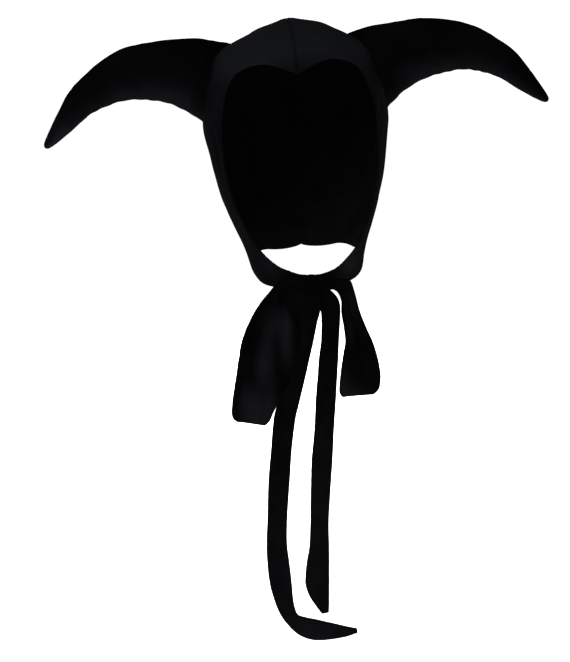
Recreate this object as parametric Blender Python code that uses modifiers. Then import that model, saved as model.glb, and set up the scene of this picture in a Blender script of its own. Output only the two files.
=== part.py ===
"""Jester hat: a velvet hood with two stuffed horns, tied under the chin with a bow.

Metres, +Z up. X is across the hat, -Y is the side of the face. The origin is the crown seat, the
highest point inside the hood, where the top of a head holds the hat up.
The hood is alike on both sides of a head that leans a little, and the horns nearly so. The tie
hangs straight down.
"""

import math

import bmesh
import bpy
from mathutils import Matrix, Vector

# Driving sizes
HEAD_WIDTH = 0.1566
HEAD_LENGTH = 0.205
HOOD_HEIGHT = 0.226
FACE_WIDTH = 0.8276 * HEAD_WIDTH
FACE_TOP = 0.162 * HOOD_HEIGHT
FACE_HEIGHT = 0.77 * HOOD_HEIGHT
CLOTH = 0.002
SEAM_GAP = 0.0004
SEWN_GAP = 0.0005
HORN_GAP = 0.0007
HORN_REACH = 0.2200
HORN_HEIGHT = 0.071
HORN_ROUNDNESS = 0.78
TIE_WIDTH = 0.040
TIE_CLOTH = 0.0016
TIE_FOLD_GAP = 0.0009
LOOP_LENGTH = 0.116
TAIL_LENGTH = 0.300
KNOT_WIDTH = 0.9 * TIE_WIDTH
KNOT_HEIGHT = 0.0145
KNOT_DEPTH = 0.015
KNOT_ASIDE = 0.0075
HEAD_LEAN = math.radians(4.7)

# How finely each piece is meshed
PANEL_ALONG = 22
PANEL_ACROSS = 15
HORN_SIDES = 18
BAND_STEPS = 32
BAND_LINES = 9
TAIL_STEPS = 34
KNOT_SIDES = 14

# The head that the hood fits, as level sections from the crown seat down past the hem.
# drop is a share of HOOD_HEIGHT, half a share of half HEAD_WIDTH,
# front and back are shares of half HEAD_LENGTH.
HEAD_SECTIONS = [
    # drop, half, front, back
    (0.000, 0.00, 0.00, 0.00),
    (0.024, 0.33, 0.33, 0.41),
    (0.047, 0.47, 0.46, 0.56),
    (0.076, 0.61, 0.59, 0.70),
    (0.120, 0.75, 0.72, 0.84),
    (0.178, 0.86, 0.82, 0.95),
    (0.244, 0.945, 0.89, 1.01),
    (0.319, 0.99, 0.93, 1.05),
    (0.390, 1.00, 0.94, 1.06),
    (0.465, 0.965, 0.94, 1.05),
    (0.553, 0.92, 0.93, 1.01),
    (0.633, 0.87, 0.91, 0.95),
    (0.708, 0.805, 0.89, 0.87),
    (0.775, 0.735, 0.87, 0.79),
    (0.840, 0.665, 0.85, 0.71),
    (0.907, 0.61, 0.82, 0.645),
    (0.956, 0.58, 0.77, 0.605),
    (1.010, 0.54, 0.69, 0.575),
    (1.090, 0.47, 0.60, 0.55),
]
SECTION_FULLNESS = 2.1
HEAD_MIDDLE = 0.40

# One side of the face opening, seen from the front, from the widow's peak down to the chin.
# out is a share of half FACE_WIDTH, down a share of FACE_HEIGHT below the top of the opening.
FACE_EDGE = [
    # out, down
    (0.00, 0.058),
    (0.13, 0.035),
    (0.26, 0.014),
    (0.42, 0.000),
    (0.60, 0.007),
    (0.74, 0.030),
    (0.83, 0.066),
    (0.90, 0.120),
    (0.96, 0.205),
    (0.995, 0.310),
    (1.00, 0.400),
    (0.98, 0.500),
    (0.925, 0.615),
    (0.85, 0.715),
    (0.75, 0.805),
    (0.62, 0.880),
    (0.45, 0.945),
    (0.25, 0.985),
    (0.00, 1.000),
]

# The hem round the neck. turn is the angle round the head from the chin to the nape, in degrees,
# drop a share of HOOD_HEIGHT.
NECK_EDGE = [
    # turn, drop
    (0, 0.985),
    (25, 0.983),
    (45, 0.972),
    (65, 0.950),
    (90, 0.918),
    (120, 0.897),
    (150, 0.885),
    (180, 0.882),
]
BACK_POLE = math.radians(30)
SEAM_FADE = 1.6

# Where each horn is sewn on: an oval round the ear, in degrees on the flat map of the side of the
# head. aside is its middle behind the ear, tilt how far its top lies further back than that.
HORN_ROOTS = {
    # side: aside, height, tilt
    -1: (5.5, 33.0, 9.0),
    1: (2.0, 33.0, 5.0),
}
HORN_ROOT_SIZE = (19.5, 24.0)
HORN_ROOT_RINGS = 3

# A horn's sections from the root to the tip. out and rise are shares of HORN_REACH from the crown
# seat, height a share of HORN_HEIGHT, lean the angle in degrees by which the section leans outward.
HORN_SECTIONS = [
    # out, rise, height, lean
    (0.375, -0.183, 0.905, -19.0),
    (0.447, -0.163, 0.810, -11.3),
    (0.513, -0.150, 0.740, -8.8),
    (0.578, -0.147, 0.685, -5.0),
    (0.645, -0.152, 0.620, 5.0),
    (0.708, -0.170, 0.545, 16.5),
    (0.770, -0.202, 0.465, 30.0),
    (0.838, -0.247, 0.380, 38.5),
    (0.902, -0.313, 0.275, 43.0),
    (0.952, -0.366, 0.176, 44.0),
    (0.982, -0.397, 0.098, 44.0),
]
HORN_TIP = (0.995, -0.412)

# How far each horn's tip hangs out and up from the symmetric place, as shares of HORN_REACH
HORN_SWAY = {-1: (-0.002, -0.007), 1: (0.016, 0.012)}

# The loops of the bow, line by line across the tie: down the front, round the fold, up the back.
# x is a share of TIE_WIDTH from the knot's middle, z a share of LOOP_LENGTH below it, for the outer
# and the inner edge. back is how far behind the knot's middle, as a share of KNOT_DEPTH.
# pleat is the depth of the pleats as a share of TIE_WIDTH.
LOOP_LEFT = [
    # outer x, outer z, inner x, inner z, back, pleat
    (-0.47, -0.035, -0.47, 0.038, -0.24, 0.000),
    (-0.59, -0.008, -0.48, 0.070, -0.28, 0.005),
    (-0.74, 0.052, -0.46, 0.125, -0.34, 0.020),
    (-0.93, 0.130, -0.38, 0.195, -0.40, 0.040),
    (-1.14, 0.250, -0.26, 0.290, -0.42, 0.050),
    (-1.31, 0.397, -0.25, 0.420, -0.42, 0.050),
    (-1.39, 0.543, -0.36, 0.565, -0.42, 0.045),
    (-1.45, 0.690, -0.46, 0.710, -0.38, 0.040),
    (-1.51, 0.832, -0.565, 0.855, -0.32, 0.030),
    (-1.52, 0.925, -0.69, 0.955, -0.24, 0.015),
    (-1.42, 0.985, -0.80, 1.020, 0.04, 0.000),
    (-1.45, 0.915, -0.73, 0.955, 0.32, 0.010),
    (-1.35, 0.793, -0.45, 0.820, 0.40, 0.020),
    (-1.22, 0.655, -0.26, 0.675, 0.44, 0.030),
    (-1.07, 0.517, -0.14, 0.530, 0.44, 0.035),
    (-0.94, 0.380, -0.06, 0.390, 0.44, 0.040),
    (-0.84, 0.240, -0.10, 0.275, 0.42, 0.030),
    (-0.73, 0.120, -0.29, 0.185, 0.38, 0.010),
    (-0.59, 0.025, -0.46, 0.110, 0.32, 0.000),
    (-0.47, -0.030, -0.47, 0.038, 0.26, 0.000),
]
LOOP_RIGHT = [
    # outer x, outer z, inner x, inner z, back, pleat
    (0.47, -0.038, 0.47, 0.030, -0.24, 0.000),
    (0.70, -0.043, 0.62, 0.050, -0.24, 0.020),
    (0.92, -0.030, 0.735, 0.076, -0.26, 0.030),
    (1.02, 0.052, 0.755, 0.122, -0.28, 0.045),
    (1.13, 0.194, 0.755, 0.207, -0.30, 0.055),
    (1.26, 0.310, 0.80, 0.310, -0.32, 0.060),
    (1.40, 0.411, 0.83, 0.411, -0.32, 0.060),
    (1.50, 0.517, 0.79, 0.505, -0.32, 0.050),
    (1.57, 0.638, 0.745, 0.630, -0.32, 0.040),
    (1.57, 0.733, 0.73, 0.733, -0.26, 0.020),
    (1.45, 0.808, 0.79, 0.817, 0.04, 0.000),
    (1.53, 0.735, 0.75, 0.741, 0.34, 0.020),
    (1.45, 0.603, 0.78, 0.603, 0.42, 0.030),
    (1.32, 0.448, 0.81, 0.448, 0.42, 0.035),
    (1.15, 0.293, 0.80, 0.293, 0.42, 0.035),
    (1.01, 0.155, 0.76, 0.155, 0.38, 0.030),
    (0.84, 0.012, 0.67, 0.066, 0.34, 0.020),
    (0.47, -0.030, 0.47, 0.030, 0.26, 0.000),
]
LEFT_PLEATS = 2.0
RIGHT_PLEATS = 1.0

# The tails, line by line from the knot down. The fold runs down one edge and both layers end at the
# other. x is a share of TIE_WIDTH from the knot's middle, z a share of TAIL_LENGTH below it,
# front is how far in front of the knot's middle, as a share of KNOT_DEPTH.
TAIL_LEFT = [
    # open x, open z, fold x, fold z, front
    (-0.42, 0.0209, 0.25, 0.0209, 0.30),
    (-0.42, 0.048, 0.30, 0.048, 0.60),
    (-0.33, 0.073, 0.255, 0.073, 0.95),
    (-0.22, 0.102, 0.20, 0.104, 1.15),
    (-0.22, 0.144, 0.13, 0.151, 1.30),
    (-0.27, 0.197, 0.055, 0.195, 1.30),
    (-0.38, 0.252, -0.038, 0.252, 1.30),
    (-0.59, 0.321, -0.16, 0.321, 1.25),
    (-0.67, 0.363, -0.235, 0.368, 1.20),
    (-0.725, 0.453, -0.31, 0.454, 1.15),
    (-0.78, 0.537, -0.35, 0.538, 1.15),
    (-0.80, 0.637, -0.40, 0.637, 1.15),
    (-0.82, 0.714, -0.41, 0.715, 1.20),
    (-0.81, 0.771, -0.365, 0.769, 1.28),
    (-0.76, 0.832, -0.32, 0.822, 1.38),
    (-0.645, 0.887, -0.29, 0.870, 1.50),
    (-0.51, 0.926, -0.25, 0.899, 1.60),
    (-0.31, 0.960, -0.18, 0.918, 1.70),
    (-0.10, 0.984, -0.01, 0.925, 1.80),
    (0.18, 0.995, 0.22, 0.931, 1.90),
    (0.52, 0.992, 0.51, 0.940, 1.95),
    (0.83, 0.983, 0.83, 0.951, 1.95),
    (1.05, 0.969, 1.06, 0.959, 1.90),
]
TAIL_RIGHT = [
    # open x, open z, fold x, fold z, front
    (0.26, 0.0262, 0.55, 0.0262, -0.02),
    (0.33, 0.050, 0.68, 0.042, 0.12),
    (0.345, 0.080, 0.71, 0.073, 0.55),
    (0.32, 0.149, 0.67, 0.147, 0.95),
    (0.27, 0.202, 0.65, 0.202, 0.95),
    (0.24, 0.258, 0.63, 0.258, 0.95),
    (0.21, 0.311, 0.61, 0.312, 0.95),
    (0.18, 0.401, 0.57, 0.401, 0.95),
    (0.13, 0.488, 0.54, 0.489, 0.95),
    (0.11, 0.574, 0.50, 0.574, 0.95),
    (0.10, 0.660, 0.47, 0.660, 0.95),
    (0.085, 0.732, 0.48, 0.732, 0.95),
    (0.035, 0.775, 0.48, 0.775, 0.95),
    (0.00, 0.815, 0.48, 0.815, 0.95),
    (0.00, 0.845, 0.48, 0.845, 0.95),
    (0.08, 0.876, 0.485, 0.874, 0.95),
    (0.20, 0.902, 0.485, 0.899, 0.95),
    (0.33, 0.926, 0.47, 0.922, 0.95),
]

# Across a tail: share of the way from the open edge to the fold, and which layer, -1 or 1
TAIL_LAYERS = [(0.0, -1), (0.5, -1), (0.9, -1), (1.0, 0), (0.9, 1), (0.5, 1), (0.0, 1)]

# The knot from one end to the other: along is a share of half KNOT_WIDTH, girth a share of full size
KNOT_SECTIONS = [
    # along, girth
    (-1.00, 0.70),
    (-0.93, 0.84),
    (-0.72, 0.96),
    (-0.30, 1.00),
    (0.30, 1.00),
    (0.72, 0.96),
    (0.93, 0.84),
    (1.00, 0.70),
]

LEFT, RIGHT = -1, 1
SIDE_NAMES = {LEFT: "left", RIGHT: "right"}


def clear_scene():
    for thing in list(bpy.data.objects):
        bpy.data.objects.remove(thing, do_unlink=True)
    for group in list(bpy.data.collections):
        bpy.data.collections.remove(group)


def smooth_row(rows, place):
    """Every column of a table at a place between its rows, 0 to len(rows) - 1, on a smooth curve."""
    last = len(rows) - 1
    place = min(max(place, 0.0), float(last))
    low = min(int(place), last - 1)
    t = place - low
    before, start, end, after = (rows[min(max(low + k, 0), last)] for k in (-1, 0, 1, 2))
    return [
        0.5 * (2 * b + (c - a) * t + (2 * a - 5 * b + 4 * c - d) * t * t + (3 * b - a - 3 * c + d) * t ** 3)
        for a, b, c, d in zip(before, start, end, after)
    ]


# The head form

def section_at(place):
    """Height, half width, front and back extent of the head's level section at a place in the table."""
    drop, half, front, back = smooth_row(HEAD_SECTIONS, place)
    return -drop * HOOD_HEIGHT, half * HEAD_WIDTH / 2, front * HEAD_LENGTH / 2, back * HEAD_LENGTH / 2


def section_reach(place, turn):
    """How far the head reaches from its upright axis, turn radians round from the face."""
    _, half, front, back = section_at(place)
    depth = front if math.cos(turn) > 0 else back
    if half <= 0 or depth <= 0:
        return 0.0
    across = abs(math.sin(turn)) / half
    along = abs(math.cos(turn)) / depth
    return (across ** SECTION_FULLNESS + along ** SECTION_FULLNESS) ** (-1 / SECTION_FULLNESS)


def head_middle():
    return Vector((0, 0, -HEAD_MIDDLE * HOOD_HEIGHT))


def form_point(direction):
    """The point of the head form in a direction from the middle of the head."""
    turn = math.atan2(abs(direction.x), -direction.y)
    level = math.hypot(direction.x, direction.y)
    slope = math.atan2(direction.z, level)
    middle = head_middle()
    low, high = 0.0, float(len(HEAD_SECTIONS) - 1)
    for _ in range(36):
        place = (low + high) / 2
        height = section_at(place)[0] - middle.z
        if math.atan2(height, section_reach(place, turn)) > slope:
            low = place
        else:
            high = place
    distance = math.hypot(section_reach(low, turn), section_at(low)[0] - middle.z)
    return middle + direction.normalized() * distance


def raised_point(direction, lift):
    """A point that lies off the head form by lift, square to its surface."""
    direction = direction.normalized()
    side = direction.cross(Vector((0.31, 0.53, 0.79))).normalized()
    up = direction.cross(side)
    small = 0.01
    across = form_point(direction + side * small) - form_point(direction - side * small)
    along = form_point(direction + up * small) - form_point(direction - up * small)
    normal = across.cross(along).normalized()
    if normal.dot(direction) < 0:
        normal = -normal
    return form_point(direction) + normal * lift


def place_at_drop(drop):
    """Where in the table of sections the head has reached a given drop."""
    low, high = 0.0, float(len(HEAD_SECTIONS) - 1)
    for _ in range(36):
        place = (low + high) / 2
        if section_at(place)[0] > -drop:
            low = place
        else:
            high = place
    return low


def front_point(out, drop):
    """The point of the front of the head form that is seen at a given place from the front."""
    height, half, front, _ = section_at(place_at_drop(drop))
    share = min(abs(out) / half, 1.0)
    depth = front * (1 - share ** SECTION_FULLNESS) ** (1 / SECTION_FULLNESS)
    return Vector((out, -depth, height))


def round_point(turn, drop):
    """The point of the head form at an angle round from the chin and a given drop."""
    place = place_at_drop(drop)
    reach = section_reach(place, turn)
    return Vector((reach * math.sin(turn), -reach * math.cos(turn), section_at(place)[0]))


def to_map(point):
    """A point of the right half of the head on a flat map round the ear, in radians from the ear."""
    direction = (point - head_middle()).normalized()
    away = math.acos(min(max(direction.x, -1.0), 1.0))
    ring = math.hypot(direction.y, direction.z)
    return Vector((away * direction.y / ring, away * direction.z / ring))


def from_map(spot):
    """The direction from the middle of the head that a spot on the flat map stands for."""
    away = spot.length
    if away < 1e-9:
        return Vector((1, 0, 0))
    ring = math.sin(away) / away
    return Vector((math.cos(away), spot.x * ring, spot.y * ring))


# The hood

def face_edge_map():
    rows = []
    for out, down in FACE_EDGE:
        drop = FACE_TOP + down * FACE_HEIGHT
        rows.append(to_map(front_point(out * FACE_WIDTH / 2, drop)))
    return rows


def neck_edge_map():
    return [to_map(round_point(math.radians(turn), drop * HOOD_HEIGHT)) for turn, drop in NECK_EDGE]


def arc_map(start, end, count):
    """Spots along the centre line of the head, between two angles on the map's rim."""
    quarter = math.pi / 2
    angles = [start + (end - start) * k / count for k in range(count + 1)]
    return [Vector((quarter * math.cos(a), quarter * math.sin(a))) for a in angles]


def spaced(spots, count):
    """Spots on a smooth line through a row of spots, evenly spaced along it."""
    fine = [Vector(smooth_row(spots, (len(spots) - 1) * k / 400)) for k in range(401)]
    lengths = [0.0]
    for before, after in zip(fine, fine[1:]):
        lengths.append(lengths[-1] + (after - before).length)
    result = []
    at = 0
    for k in range(count + 1):
        wanted = lengths[-1] * k / count
        while at < len(fine) - 2 and lengths[at + 1] < wanted:
            at += 1
        step = lengths[at + 1] - lengths[at]
        share = (wanted - lengths[at]) / step if step > 0 else 0.0
        result.append(fine[at].lerp(fine[at + 1], min(max(share, 0.0), 1.0)))
    return result


def panel_spots():
    """The hood panel on the flat map, as rows of spots from the face edge to the back."""
    face = face_edge_map()
    neck = neck_edge_map()
    full_turn = 2 * math.pi
    peak = math.atan2(face[0].y, face[0].x) % full_turn
    chin = math.atan2(face[-1].y, face[-1].x) % full_turn
    hem = math.atan2(neck[0].y, neck[0].x) % full_turn
    nape = math.atan2(neck[-1].y, neck[-1].x) % full_turn - full_turn
    crown_seam = spaced(arc_map(peak, BACK_POLE, 24), PANEL_ACROSS)
    chin_seam = spaced(arc_map(chin, hem, 4), PANEL_ACROSS)
    face_side = spaced(face, PANEL_ALONG)
    seam_steps = round(PANEL_ALONG * 0.5)
    back_seam = spaced(arc_map(BACK_POLE, nape, 16), seam_steps)
    neck_side = spaced(neck[::-1], PANEL_ALONG - seam_steps)
    back_side = back_seam + neck_side[1:]
    rows = []
    for i in range(PANEL_ALONG + 1):
        s = i / PANEL_ALONG
        row = []
        for j in range(PANEL_ACROSS + 1):
            v = j / PANEL_ACROSS
            spot = face_side[i].lerp(back_side[i], v)
            spot += (crown_seam[j] - face_side[0].lerp(back_side[0], v)) * (1 - s) ** SEAM_FADE
            spot += (chin_seam[j] - face_side[-1].lerp(back_side[-1], v)) * s ** SEAM_FADE
            row.append(spot)
        rows.append(row)
    return rows


def hood_panel(side):
    """Half of the hood: a sheet on the head form, thickened outward by the cloth."""
    mesh = bmesh.new()
    grid = []
    for row in panel_spots():
        line = []
        for spot in row:
            point = form_point(from_map(spot))
            point.x = max(point.x, SEAM_GAP / 2)
            line.append(mesh.verts.new((side * point.x, point.y, point.z)))
        grid.append(line)
    for low, high in zip(grid, grid[1:]):
        for k in range(len(low) - 1):
            corners = (low[k], low[k + 1], high[k + 1], high[k])
            mesh.faces.new(corners if side == LEFT else corners[::-1])
    panel = add_object(f"hood_panel_{SIDE_NAMES[side]}", mesh, velvet("hood_velvet", 0.022, 0.85))
    thicken(panel, CLOTH, 1.0)
    return panel


# The horns

def root_ring(share, side):
    """A ring of points round a horn's root, on the outside of the hood."""
    points = []
    aside, height, tilt = HORN_ROOTS[side]
    for k in range(HORN_SIDES):
        angle = 2 * math.pi * k / HORN_SIDES
        spot = Vector((
            math.radians(aside + share * (HORN_ROOT_SIZE[0] * math.cos(angle) + tilt * math.sin(angle))),
            math.radians(height + share * HORN_ROOT_SIZE[1] * math.sin(angle)),
        ))
        point = raised_point(from_map(spot), CLOTH + HORN_GAP)
        points.append(Vector((side * point.x, point.y, point.z)))
    return points


def horn_centre(out, rise, side):
    """A point on a horn's middle line, with the sway that this horn has there.

    Near the hood the line lies as far behind the ear as the horn's root does.
    """
    grown = (out - HORN_SECTIONS[0][0]) / (HORN_TIP[0] - HORN_SECTIONS[0][0])
    sway_out, sway_up = HORN_SWAY[side]
    set_back = math.radians(HORN_ROOTS[side][0]) * HEAD_WIDTH / 2 * (1 - grown) ** 2
    return Vector(((out + sway_out * grown) * HORN_REACH, set_back, (rise + sway_up * grown) * HORN_REACH))


def horn_ring(section, side):
    """A ring of points round a horn, square to its curve."""
    out, rise, height, lean = section
    centre = horn_centre(out, rise, side)
    half = height * HORN_HEIGHT / 2
    up = Vector((math.sin(math.radians(lean)), 0, math.cos(math.radians(lean))))
    back = Vector((0, 1, 0))
    points = []
    for k in range(HORN_SIDES):
        angle = 2 * math.pi * k / HORN_SIDES
        point = centre + back * (half * HORN_ROUNDNESS * math.cos(angle)) + up * (half * math.sin(angle))
        points.append(Vector((side * point.x, point.y, point.z)))
    return points


def horn(side):
    """A stuffed horn: its root follows the hood, and its sections shrink along a curve to the tip."""
    mesh = bmesh.new()
    rings = [root_ring(k / HORN_ROOT_RINGS, side) for k in range(1, HORN_ROOT_RINGS + 1)]
    rings += [horn_ring(section, side) for section in HORN_SECTIONS]
    loops = [[mesh.verts.new(point) for point in ring] for ring in rings]
    for low, high in zip(loops, loops[1:]):
        for k in range(HORN_SIDES):
            following = (k + 1) % HORN_SIDES
            mesh.faces.new((low[k], low[following], high[following], high[k]))
    aside, height, _ = HORN_ROOTS[side]
    centre_spot = Vector((math.radians(aside), math.radians(height)))
    root = raised_point(from_map(centre_spot), CLOTH + HORN_GAP)
    close_ring(mesh, loops[0], Vector((side * root.x, root.y, root.z)))
    tip = horn_centre(*HORN_TIP, side)
    close_ring(mesh, loops[-1], Vector((side * tip.x, tip.y, tip.z)))
    bmesh.ops.recalc_face_normals(mesh, faces=mesh.faces)
    return add_object(f"horn_{SIDE_NAMES[side]}", mesh, velvet("horn_velvet", 0.012, 0.9))


def close_ring(mesh, loop, point):
    """Close a ring of vertices with a fan round one point."""
    middle = mesh.verts.new(point)
    for k in range(len(loop)):
        mesh.faces.new((loop[k], loop[(k + 1) % len(loop)], middle))


# The tie

def lean_matrix():
    return Matrix.Rotation(-HEAD_LEAN, 4, "Y")


def knot_middle():
    """The middle of the knot: in front of the hood, under the chin and a little to one side."""
    chin = lean_matrix() @ front_point(0.0, FACE_TOP + FACE_HEIGHT)
    aim = Vector((chin.x - KNOT_ASIDE, chin.y, chin.z - KNOT_HEIGHT / 2))
    on_head = lean_matrix().inverted() @ aim
    seat = lean_matrix() @ raised_point(on_head - head_middle(), CLOTH + SEWN_GAP)
    return Vector((aim.x, seat.y - KNOT_DEPTH / 2, aim.z))


def bow_knot():
    """The wrap of the knot: a short barrel lying across, with its ends flat for the loops."""
    mesh = bmesh.new()
    middle = knot_middle()
    loops = []
    for along, girth in KNOT_SECTIONS:
        loop = []
        for k in range(KNOT_SIDES):
            angle = 2 * math.pi * k / KNOT_SIDES
            loop.append(mesh.verts.new((
                middle.x + along * KNOT_WIDTH / 2,
                middle.y + girth * KNOT_DEPTH / 2 * math.cos(angle),
                middle.z + girth * KNOT_HEIGHT / 2 * math.sin(angle),
            )))
        loops.append(loop)
    for low, high in zip(loops, loops[1:]):
        for k in range(KNOT_SIDES):
            following = (k + 1) % KNOT_SIDES
            mesh.faces.new((low[k], low[following], high[following], high[k]))
    mesh.faces.new(loops[0])
    mesh.faces.new(loops[-1])
    bmesh.ops.recalc_face_normals(mesh, faces=mesh.faces)
    return add_object("bow_knot", mesh, velvet("tie_velvet", 0.014, 0.88))


def bow_loop(side, rows, pleats):
    """A loop of the bow: one pleated band that hangs from the knot and comes back up behind."""
    mesh = bmesh.new()
    middle = knot_middle()
    grid = []
    for i in range(BAND_STEPS + 1):
        outer_x, outer_z, inner_x, inner_z, back, pleat = smooth_row(rows, (len(rows) - 1) * i / BAND_STEPS)
        outer = middle + Vector((outer_x * TIE_WIDTH, back * KNOT_DEPTH, -outer_z * LOOP_LENGTH))
        inner = middle + Vector((inner_x * TIE_WIDTH, back * KNOT_DEPTH, -inner_z * LOOP_LENGTH))
        line = []
        for k in range(BAND_LINES):
            share = k / (BAND_LINES - 1)
            point = outer.lerp(inner, share)
            point.y += pleat * TIE_WIDTH * math.cos(2 * math.pi * pleats * share)
            line.append(mesh.verts.new(point))
        grid.append(line)
    for low, high in zip(grid, grid[1:]):
        for k in range(BAND_LINES - 1):
            mesh.faces.new((low[k], low[k + 1], high[k + 1], high[k]))
    band = add_object(f"bow_loop_{SIDE_NAMES[side]}", mesh, velvet("tie_velvet", 0.014, 0.88))
    thicken(band, TIE_CLOTH, 0.0)
    return band


def tie_tail(side, rows):
    """A free end of the tie: a band folded lengthwise, cut to a point at its fold."""
    mesh = bmesh.new()
    middle = knot_middle()
    spread = (TIE_CLOTH + TIE_FOLD_GAP) / 2
    edges = []
    for i in range(TAIL_STEPS + 1):
        open_x, open_z, fold_x, fold_z, front = smooth_row(rows, (len(rows) - 1) * i / TAIL_STEPS)
        open_edge = middle + Vector((open_x * TIE_WIDTH, -front * KNOT_DEPTH, -open_z * TAIL_LENGTH))
        fold = middle + Vector((fold_x * TIE_WIDTH, -front * KNOT_DEPTH, -fold_z * TAIL_LENGTH))
        edges.append((open_edge, fold))
    grid = []
    for i, (open_edge, fold) in enumerate(edges):
        before = edges[max(i - 1, 0)]
        after = edges[min(i + 1, TAIL_STEPS)]
        run = sum(after, Vector()) - sum(before, Vector())
        face = run.cross(fold - open_edge).normalized()
        line = []
        for share, layer in TAIL_LAYERS:
            line.append(mesh.verts.new(open_edge.lerp(fold, share) + face * layer * spread))
        grid.append(line)
    for low, high in zip(grid, grid[1:]):
        for k in range(len(low) - 1):
            mesh.faces.new((low[k], low[k + 1], high[k + 1], high[k]))
    tail = add_object(f"tie_tail_{SIDE_NAMES[side]}", mesh, velvet("tie_velvet", 0.014, 0.88))
    thicken(tail, TIE_CLOTH, 0.0)
    return tail


# Materials and objects

def velvet(name, shade, roughness):
    """Near-black velvet: rough, with a soft sheen."""
    material = bpy.data.materials.get(name)
    if material is None:
        material = bpy.data.materials.new(name)
        material.use_nodes = True
        shader = material.node_tree.nodes["Principled BSDF"]
        shader.inputs["Base Color"].default_value = (shade, shade, shade * 1.1, 1)
        shader.inputs["Roughness"].default_value = roughness
        shader.inputs["Metallic"].default_value = 0.0
        shader.inputs["Sheen Weight"].default_value = 0.4
    return material


def add_object(name, mesh, material):
    """Turn a bmesh into a smooth-shaded object of the hat."""
    data = bpy.data.meshes.new(name)
    mesh.to_mesh(data)
    mesh.free()
    data.materials.append(material)
    data.shade_smooth()
    thing = bpy.data.objects.new(name, data)
    bpy.data.collections["jester_hat"].objects.link(thing)
    return thing


def thicken(sheet, thickness, offset):
    """Give a sheet the thickness of its cloth."""
    solidify = sheet.modifiers.new("cloth", "SOLIDIFY")
    solidify.thickness = thickness
    solidify.offset = offset
    solidify.use_rim = True


def build():
    clear_scene()
    collection = bpy.data.collections.new("jester_hat")
    bpy.context.scene.collection.children.link(collection)
    worn_head = bpy.data.objects.new("worn_head", None)
    collection.objects.link(worn_head)
    worn_head.rotation_euler = (0, -HEAD_LEAN, 0)
    for side in (LEFT, RIGHT):
        hood_panel(side).parent = worn_head
        horn(side).parent = worn_head
    bow_knot()
    bow_loop(LEFT, LOOP_LEFT, LEFT_PLEATS)
    bow_loop(RIGHT, LOOP_RIGHT, RIGHT_PLEATS)
    tie_tail(LEFT, TAIL_LEFT)
    tie_tail(RIGHT, TAIL_RIGHT)


build()
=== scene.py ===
"""Looks of the jester hat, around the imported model.

Metres, +Z up, in the same frame as the solids. The hood and the horns are drawn on the head that
the hood fits, which leans a little. The tie hangs straight down.
"""

import math

import bmesh
import bpy
import numpy as np
from mathutils import Matrix, Vector, noise


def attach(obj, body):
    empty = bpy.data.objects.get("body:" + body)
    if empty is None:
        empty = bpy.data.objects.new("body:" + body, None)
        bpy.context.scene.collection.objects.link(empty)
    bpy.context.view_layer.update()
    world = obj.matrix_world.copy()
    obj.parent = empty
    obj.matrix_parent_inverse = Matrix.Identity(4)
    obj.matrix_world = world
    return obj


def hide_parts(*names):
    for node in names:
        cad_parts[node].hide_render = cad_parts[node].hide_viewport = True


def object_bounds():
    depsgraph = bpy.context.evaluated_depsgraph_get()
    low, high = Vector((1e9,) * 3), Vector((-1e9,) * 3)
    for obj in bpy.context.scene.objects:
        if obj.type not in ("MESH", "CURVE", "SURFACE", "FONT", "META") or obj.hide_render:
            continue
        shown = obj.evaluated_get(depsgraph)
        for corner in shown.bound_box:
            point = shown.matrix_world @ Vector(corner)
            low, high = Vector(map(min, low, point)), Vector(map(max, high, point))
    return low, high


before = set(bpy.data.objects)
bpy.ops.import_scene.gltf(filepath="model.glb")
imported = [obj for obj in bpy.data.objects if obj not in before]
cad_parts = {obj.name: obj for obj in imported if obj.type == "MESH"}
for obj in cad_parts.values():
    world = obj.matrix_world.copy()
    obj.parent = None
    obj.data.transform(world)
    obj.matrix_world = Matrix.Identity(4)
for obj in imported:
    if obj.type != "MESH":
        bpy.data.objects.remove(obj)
cad_box = [list(corner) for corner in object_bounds()]

# Sizes of the solids, as the hat was built
HEAD_WIDTH = 0.1566
HEAD_LENGTH = 0.205
HOOD_HEIGHT = 0.226
FACE_WIDTH = 0.8276 * HEAD_WIDTH
FACE_TOP = 0.162 * HOOD_HEIGHT
FACE_HEIGHT = 0.77 * HOOD_HEIGHT
CLOTH = 0.002
HORN_REACH = 0.2200
HORN_HEIGHT = 0.071
HORN_ROUNDNESS = 0.78
TIE_WIDTH = 0.040
TIE_CLOTH = 0.0016
LOOP_LENGTH = 0.116
TAIL_LENGTH = 0.300
KNOT_WIDTH = 0.9 * TIE_WIDTH
KNOT_HEIGHT = 0.0145
KNOT_DEPTH = 0.015
KNOT_ASIDE = 0.0075
HEAD_LEAN = math.radians(4.7)
SEWN_GAP = 0.0005

# The head that the hood fits, as level sections from the crown seat down past the hem.
# drop is a share of HOOD_HEIGHT, half a share of half HEAD_WIDTH,
# front and back are shares of half HEAD_LENGTH.
HEAD_SECTIONS = [
    # drop, half, front, back
    (0.0, 0.0, 0.0, 0.0),
    (0.024, 0.33, 0.33, 0.41),
    (0.047, 0.47, 0.46, 0.56),
    (0.076, 0.61, 0.59, 0.7),
    (0.12, 0.75, 0.72, 0.84),
    (0.178, 0.86, 0.82, 0.95),
    (0.244, 0.945, 0.89, 1.01),
    (0.319, 0.99, 0.93, 1.05),
    (0.39, 1.0, 0.94, 1.06),
    (0.465, 0.965, 0.94, 1.05),
    (0.553, 0.92, 0.93, 1.01),
    (0.633, 0.87, 0.91, 0.95),
    (0.708, 0.805, 0.89, 0.87),
    (0.775, 0.735, 0.87, 0.79),
    (0.84, 0.665, 0.85, 0.71),
    (0.907, 0.61, 0.82, 0.645),
    (0.956, 0.58, 0.77, 0.605),
    (1.01, 0.54, 0.69, 0.575),
    (1.09, 0.47, 0.6, 0.55),
]

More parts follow.
